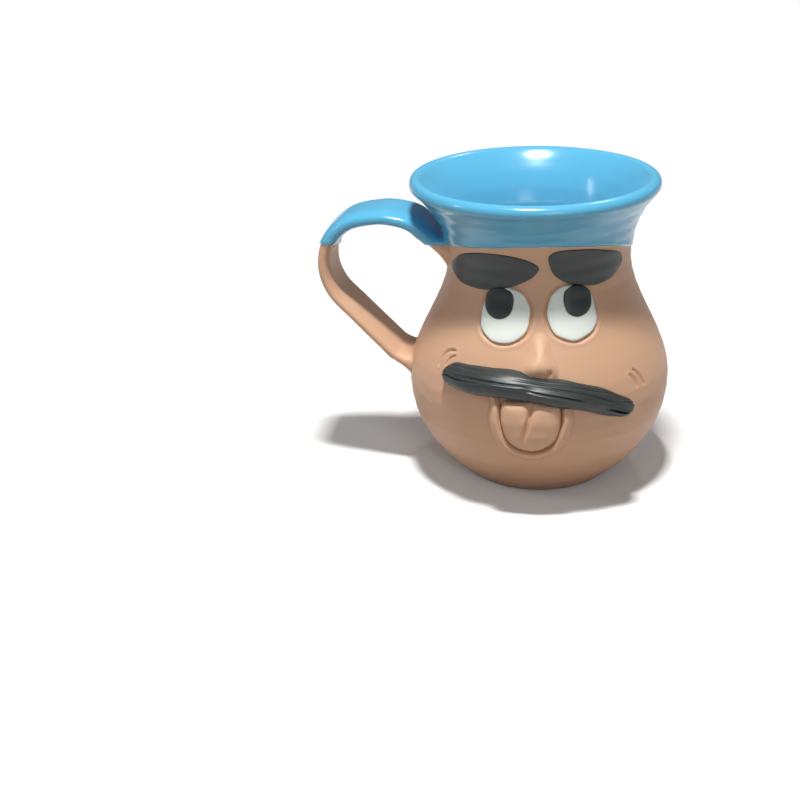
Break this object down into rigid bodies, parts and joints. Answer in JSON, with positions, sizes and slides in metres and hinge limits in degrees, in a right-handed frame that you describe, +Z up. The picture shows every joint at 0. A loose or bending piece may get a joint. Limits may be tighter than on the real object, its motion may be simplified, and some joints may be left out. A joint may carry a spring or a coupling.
{
  "type": "clay mug with strap handle",
  "caption": "Round-bellied clay mug with a flared glazed mouth, a strap handle and a comic moustached face of applied clay on its front.",
  "frame": {"origin": "centre of the flat foot, on the axis of the vessel, in the plane that the mug rests on", "axes": "+Z up along the vessel's axis, -Y out of the middle of the face, -X towards the handle"},
  "size_m": [0.1147, 0.0883, 0.1],
  "materials": {
    "bare_clay": "unglazed terracotta, burnished, satin",
    "blue_glaze": "gloss",
    "dark_slip": "satin",
    "white_slip": "satin"
  },
  "bodies": {
    "root": {"clay_body": "bare_clay", "glaze_coat": "blue_glaze", "handle_strap": "bare_clay", "handle_glaze": "blue_glaze", "nose": "bare_clay", "moustache": "dark_slip", "lower_lip": "bare_clay", "tongue": "bare_clay", "left_eye": "white_slip", "right_eye": "white_slip", "left_pupil": "dark_slip", "right_pupil": "dark_slip", "left_brow": "dark_slip", "right_brow": "dark_slip"}
  },
  "joints": []
}
